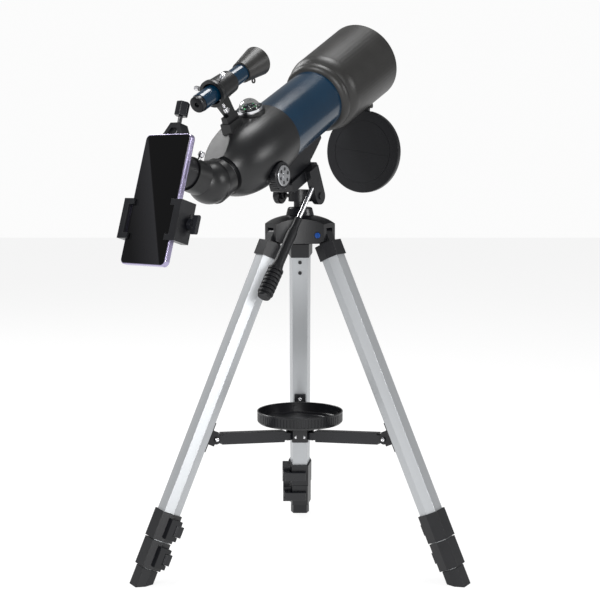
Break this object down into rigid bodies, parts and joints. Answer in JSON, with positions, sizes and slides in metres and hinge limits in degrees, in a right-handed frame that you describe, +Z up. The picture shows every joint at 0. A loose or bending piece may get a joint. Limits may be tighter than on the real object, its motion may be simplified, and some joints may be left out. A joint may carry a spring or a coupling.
{
  "type": "refractor telescope on tripod",
  "caption": "Short refractor telescope with finder, compass, angled eyepiece and phone clamp on a compact folding aluminium tripod.",
  "frame": {"origin": "on the floor under the pan axis, midway between the three feet", "axes": "+Z up along the pan axis, +Y toward the rear leg, +X to the side of the right leg"},
  "size_m": [0.4288, 0.5304, 0.708],
  "materials": {
    "leg_aluminium": "satin",
    "black_plastic": "fine moulded texture",
    "shield_plastic": "matt",
    "tube_paint": "gloss",
    "polished_steel": "polished",
    "lens_glass": "coated",
    "dome_plastic": "clear dome",
    "compass_print": "printed",
    "grip_rubber": "matt ribbed",
    "blue_screw": "coloured head",
    "phone_shell": "glass face and smooth rim"
  },
  "bodies": {
    "tripod_base": {"tripod_crown": "black_plastic", "leg_hinge_bolts": "blue_screw", "pan_base": "black_plastic"},
    "rear_leg": {"rear_leg_outer_tube": "leg_aluminium", "rear_leg_fittings": "black_plastic"},
    "rear_upper_lever": {"rear_leg_upper_lever": "black_plastic"},
    "rear_leg_middle": {"rear_leg_middle_tube": "leg_aluminium", "rear_leg_lower_lock": "black_plastic"},
    "rear_lower_lever": {"rear_leg_lower_lever": "black_plastic"},
    "rear_leg_lower": {"rear_leg_inner_tube": "leg_aluminium"},
    "left_leg": {"left_leg_outer_tube": "leg_aluminium", "left_leg_fittings": "black_plastic"},
    "left_upper_lever": {"left_leg_upper_lever": "black_plastic"},
    "left_leg_middle": {"left_leg_middle_tube": "leg_aluminium", "left_leg_lower_lock": "black_plastic"},
    "left_lower_lever": {"left_leg_lower_lever": "black_plastic"},
    "left_leg_lower": {"left_leg_inner_tube": "leg_aluminium"},
    "right_leg": {"right_leg_outer_tube": "leg_aluminium", "right_leg_fittings": "black_plastic"},
    "right_upper_lever": {"right_leg_upper_lever": "black_plastic"},
    "right_leg_middle": {"right_leg_middle_tube": "leg_aluminium", "right_leg_lower_lock": "black_plastic"},
    "right_lower_lever": {"right_leg_lower_lever": "black_plastic"},
    "right_leg_lower": {"right_leg_inner_tube": "leg_aluminium"},
    "spreader": {"spreader_hub": "black_plastic", "accessory_tray": "black_plastic"},
    "rear_arm": {"rear_spreader_arm": "black_plastic"},
    "left_arm": {"left_spreader_arm": "black_plastic"},
    "right_arm": {"right_spreader_arm": "black_plastic"},
    "pan_head": {"pan_block": "black_plastic"},
    "pan_lock": {"pan_lock_knob": "black_plastic"},
    "telescope": {"tilt_arm": "black_plastic", "tube_saddle": "black_plastic", "main_tube": "tube_paint", "dew_shield": "shield_plastic", "objective_lens": "lens_glass", "rear_housing": "black_plastic", "compass_housing": "black_plastic", "compass_dome": "dome_plastic", "finder_tube": "black_plastic", "finder_hood": "shield_plastic", "finder_lens": "lens_glass", "finder_ring": "black_plastic", "finder_screws": "polished_steel"},
    "pan_handle": {"pan_handle_rod": "polished_steel", "pan_handle_grip": "grip_rubber"},
    "objective_flip_cap": {"objective_cap": "black_plastic"},
    "focuser": {"focus_knobs": "black_plastic"},
    "focus_tube": {"drawtube": "polished_steel"},
    "compass_card_body": {"compass_card": "compass_print"},
    "finder_focus": {"finder_eyepiece": "black_plastic"},
    "diagonal": {"erecting_diagonal": "black_plastic"},
    "diagonal_screw": {"eyepiece_thumbscrew": "polished_steel"},
    "eyepiece_body": {"eyepiece": "black_plastic"},
    "holder": {"phone_holder": "black_plastic"},
    "clamp_jaw": {"eyepiece_clamp_jaw": "black_plastic"},
    "clamp_knob": {"eyepiece_clamp_knob": "black_plastic"},
    "phone_side_jaw": {"phone_jaw": "black_plastic"},
    "jaw_wing": {"phone_jaw_wing_knob": "black_plastic"},
    "phone_body": {"phone": "phone_shell"}
  },
  "joints": [
    {"name": "rear_leg_fold", "type": "hinge", "parent": "tripod_base", "child": "rear_leg", "pos_m": [0, 0.0363, 0.432], "axis": [-1, 0, 0], "range_deg": [0, 6]},
    {"name": "rear_leg_middle_slide", "type": "slide", "parent": "rear_leg", "child": "rear_leg_middle", "axis": [0, 0.4091, -0.9125], "range_m": [0, 0.27]},
    {"name": "rear_leg_lower_slide", "type": "slide", "parent": "rear_leg_middle", "child": "rear_leg_lower", "axis": [0, 0.4091, -0.9125], "range_m": [0, 0.27]},
    {"name": "rear_upper_lever_flip", "type": "hinge", "parent": "rear_leg", "child": "rear_upper_lever", "pos_m": [-0.02165, 0.19193, 0.06779], "axis": [0, 0.4091, -0.9125], "range_deg": [0, 100]},
    {"name": "rear_lower_lever_flip", "type": "hinge", "parent": "rear_leg_middle", "child": "rear_lower_lever", "pos_m": [-0.02095, 0.20715, 0.03385], "axis": [0, 0.4091, -0.9125], "range_deg": [0, 100]},
    {"name": "left_leg_fold", "type": "hinge", "parent": "tripod_base", "child": "left_leg", "pos_m": [-0.03144, -0.01815, 0.432], "axis": [0.5, -0.866, 0], "range_deg": [0, 6]},
    {"name": "left_leg_middle_slide", "type": "slide", "parent": "left_leg", "child": "left_leg_middle", "axis": [-0.3543, -0.2046, -0.9125], "range_m": [0, 0.27]},
    {"name": "left_leg_lower_slide", "type": "slide", "parent": "left_leg_middle", "child": "left_leg_lower", "axis": [-0.3543, -0.2046, -0.9125], "range_m": [0, 0.27]},
    {"name": "left_upper_lever_flip", "type": "hinge", "parent": "left_leg", "child": "left_upper_lever", "pos_m": [-0.15539, -0.11471, 0.06779], "axis": [-0.3543, -0.2046, -0.9125], "range_deg": [0, 100]},
    {"name": "left_lower_lever_flip", "type": "hinge", "parent": "left_leg_middle", "child": "left_lower_lever", "pos_m": [-0.16892, -0.12172, 0.03385], "axis": [-0.3543, -0.2046, -0.9125], "range_deg": [0, 100]},
    {"name": "right_leg_fold", "type": "hinge", "parent": "tripod_base", "child": "right_leg", "pos_m": [0.03144, -0.01815, 0.432], "axis": [0.5, 0.866, 0], "range_deg": [0, 6]},
    {"name": "right_leg_middle_slide", "type": "slide", "parent": "right_leg", "child": "right_leg_middle", "axis": [0.3543, -0.2046, -0.9125], "range_m": [0, 0.27]},
    {"name": "right_leg_lower_slide", "type": "slide", "parent": "right_leg_middle", "child": "right_leg_lower", "axis": [0.3543, -0.2046, -0.9125], "range_m": [0, 0.27]},
    {"name": "right_upper_lever_flip", "type": "hinge", "parent": "right_leg", "child": "right_upper_lever", "pos_m": [0.17704, -0.07722, 0.06779], "axis": [0.3543, -0.2046, -0.9125], "range_deg": [0, 100]},
    {"name": "right_lower_lever_flip", "type": "hinge", "parent": "right_leg_middle", "child": "right_lower_lever", "pos_m": [0.18987, -0.08543, 0.03385], "axis": [0.3543, -0.2046, -0.9125], "range_deg": [0, 100]},
    {"name": "spreader_lift", "type": "slide", "parent": "tripod_base", "child": "spreader", "axis": [0, 0, 1], "range_m": [0, 0.0758]},
    {"name": "rear_arm_fold", "type": "hinge", "parent": "spreader", "child": "rear_arm", "pos_m": [0, 0.0115, 0.166], "axis": [-1, 0, 0], "range_deg": [0, 44.83]},
    {"name": "left_arm_fold", "type": "hinge", "parent": "spreader", "child": "left_arm", "pos_m": [-0.00996, -0.00575, 0.166], "axis": [0.5, -0.866, 0], "range_deg": [0, 44.83]},
    {"name": "right_arm_fold", "type": "hinge", "parent": "spreader", "child": "right_arm", "pos_m": [0.00996, -0.00575, 0.166], "axis": [0.5, 0.866, 0], "range_deg": [0, 44.83]},
    {"name": "pan", "type": "hinge", "parent": "tripod_base", "child": "pan_head", "pos_m": [0, 0, 0.474], "axis": [0, 0, 1], "continuous": true},
    {"name": "pan_lock_turn", "type": "hinge", "parent": "pan_head", "child": "pan_lock", "pos_m": [-0.01679, 0.01086, 0.481], "axis": [-0.8396, 0.5432, 0], "continuous": true},
    {"name": "tilt", "type": "hinge", "parent": "pan_head", "child": "telescope", "pos_m": [0.00434, 0.00672, 0.481], "axis": [0.8396, -0.5432, 0], "range_deg": [-35, 0]},
    {"name": "handle_twist", "type": "hinge", "parent": "telescope", "child": "pan_handle", "pos_m": [-0.00317, -0.04788, 0.45116], "axis": [-0.352, -0.5442, -0.7615], "continuous": true},
    {"name": "cap_swing", "type": "hinge", "parent": "telescope", "child": "objective_flip_cap", "pos_m": [0.0939, 0.15243, 0.60017], "axis": [0.8541, -0.5156, -0.0683], "range_deg": [0, 204.4]},
    {"name": "focus_turn", "type": "hinge", "parent": "telescope", "child": "focuser", "pos_m": [-0.06006, -0.09438, 0.51031], "axis": [0.8396, -0.5432, 0], "range_deg": [0, 300]},
    {"name": "focus_travel", "type": "slide", "parent": "telescope", "child": "focus_tube", "axis": [-0.4947, -0.7646, -0.4131], "range_m": [0, 0.0217]},
    {"name": "compass_turn", "type": "hinge", "parent": "telescope", "child": "compass_card_body", "pos_m": [-0.062, -0.09738, 0.59324], "axis": [-0.2244, -0.3469, 0.9107], "continuous": true},
    {"name": "finder_eyepiece_turn", "type": "hinge", "parent": "telescope", "child": "finder_focus", "pos_m": [-0.11529, -0.17976, 0.5965], "axis": [0.4947, 0.7646, 0.4131], "continuous": true},
    {"name": "diagonal_turn", "type": "hinge", "parent": "focus_tube", "child": "diagonal", "pos_m": [-0.09793, -0.15293, 0.50668], "axis": [-0.4947, -0.7646, -0.4131], "range_deg": [0, 60]},
    {"name": "thumbscrew_turn", "type": "hinge", "parent": "diagonal", "child": "diagonal_screw", "pos_m": [-0.1153, -0.18802, 0.5344], "axis": [0.4386, -0.0081, 0.8987], "continuous": true},
    {"name": "eyepiece_pull", "type": "slide", "parent": "diagonal", "child": "eyepiece_body", "axis": [-0.636, -0.7093, 0.304], "range_m": [0, 0.018]},
    {"name": "holder_turn", "type": "hinge", "parent": "eyepiece_body", "child": "holder", "pos_m": [-0.14618, -0.21052, 0.52256], "axis": [-0.636, -0.7093, 0.304], "range_deg": [-30, 60]},
    {"name": "clamp_jaw_slide", "type": "slide", "parent": "holder", "child": "clamp_jaw", "axis": [0.1895, 0.2384, 0.9525], "range_m": [0, 0.004]},
    {"name": "clamp_knob_turn", "type": "hinge", "parent": "clamp_jaw", "child": "clamp_knob", "pos_m": [-0.13678, -0.19842, 0.58065], "axis": [0.1895, 0.2384, 0.9525], "continuous": true},
    {"name": "phone_jaw_slide", "type": "slide", "parent": "holder", "child": "phone_side_jaw", "axis": [0.748, -0.6634, 0.0172], "range_m": [0, 0.012]},
    {"name": "wing_knob_turn", "type": "hinge", "parent": "phone_side_jaw", "child": "jaw_wing", "pos_m": [-0.12726, -0.26617, 0.46028], "axis": [0.748, -0.6634, 0.0172], "continuous": true},
    {"name": "phone_slide", "type": "slide", "parent": "holder", "child": "phone_body", "axis": [0.1895, 0.2384, 0.9525], "range_m": [0, 0.04]}
  ],
  "couplings": [
    {"joint": "left_leg_fold", "follows": "rear_leg_fold", "ratio": 1},
    {"joint": "right_leg_fold", "follows": "rear_leg_fold", "ratio": 1},
    {"joint": "spreader_lift", "follows": "rear_leg_fold", "m_per_rad": 0.72195},
    {"joint": "rear_arm_fold", "follows": "rear_leg_fold", "ratio": 7.4546},
    {"joint": "left_arm_fold", "follows": "rear_leg_fold", "ratio": 7.4546},
    {"joint": "right_arm_fold", "follows": "rear_leg_fold", "ratio": 7.4546},
    {"joint": "focus_turn", "follows": "focus_travel", "rad_per_m": 240.96}
  ]
}
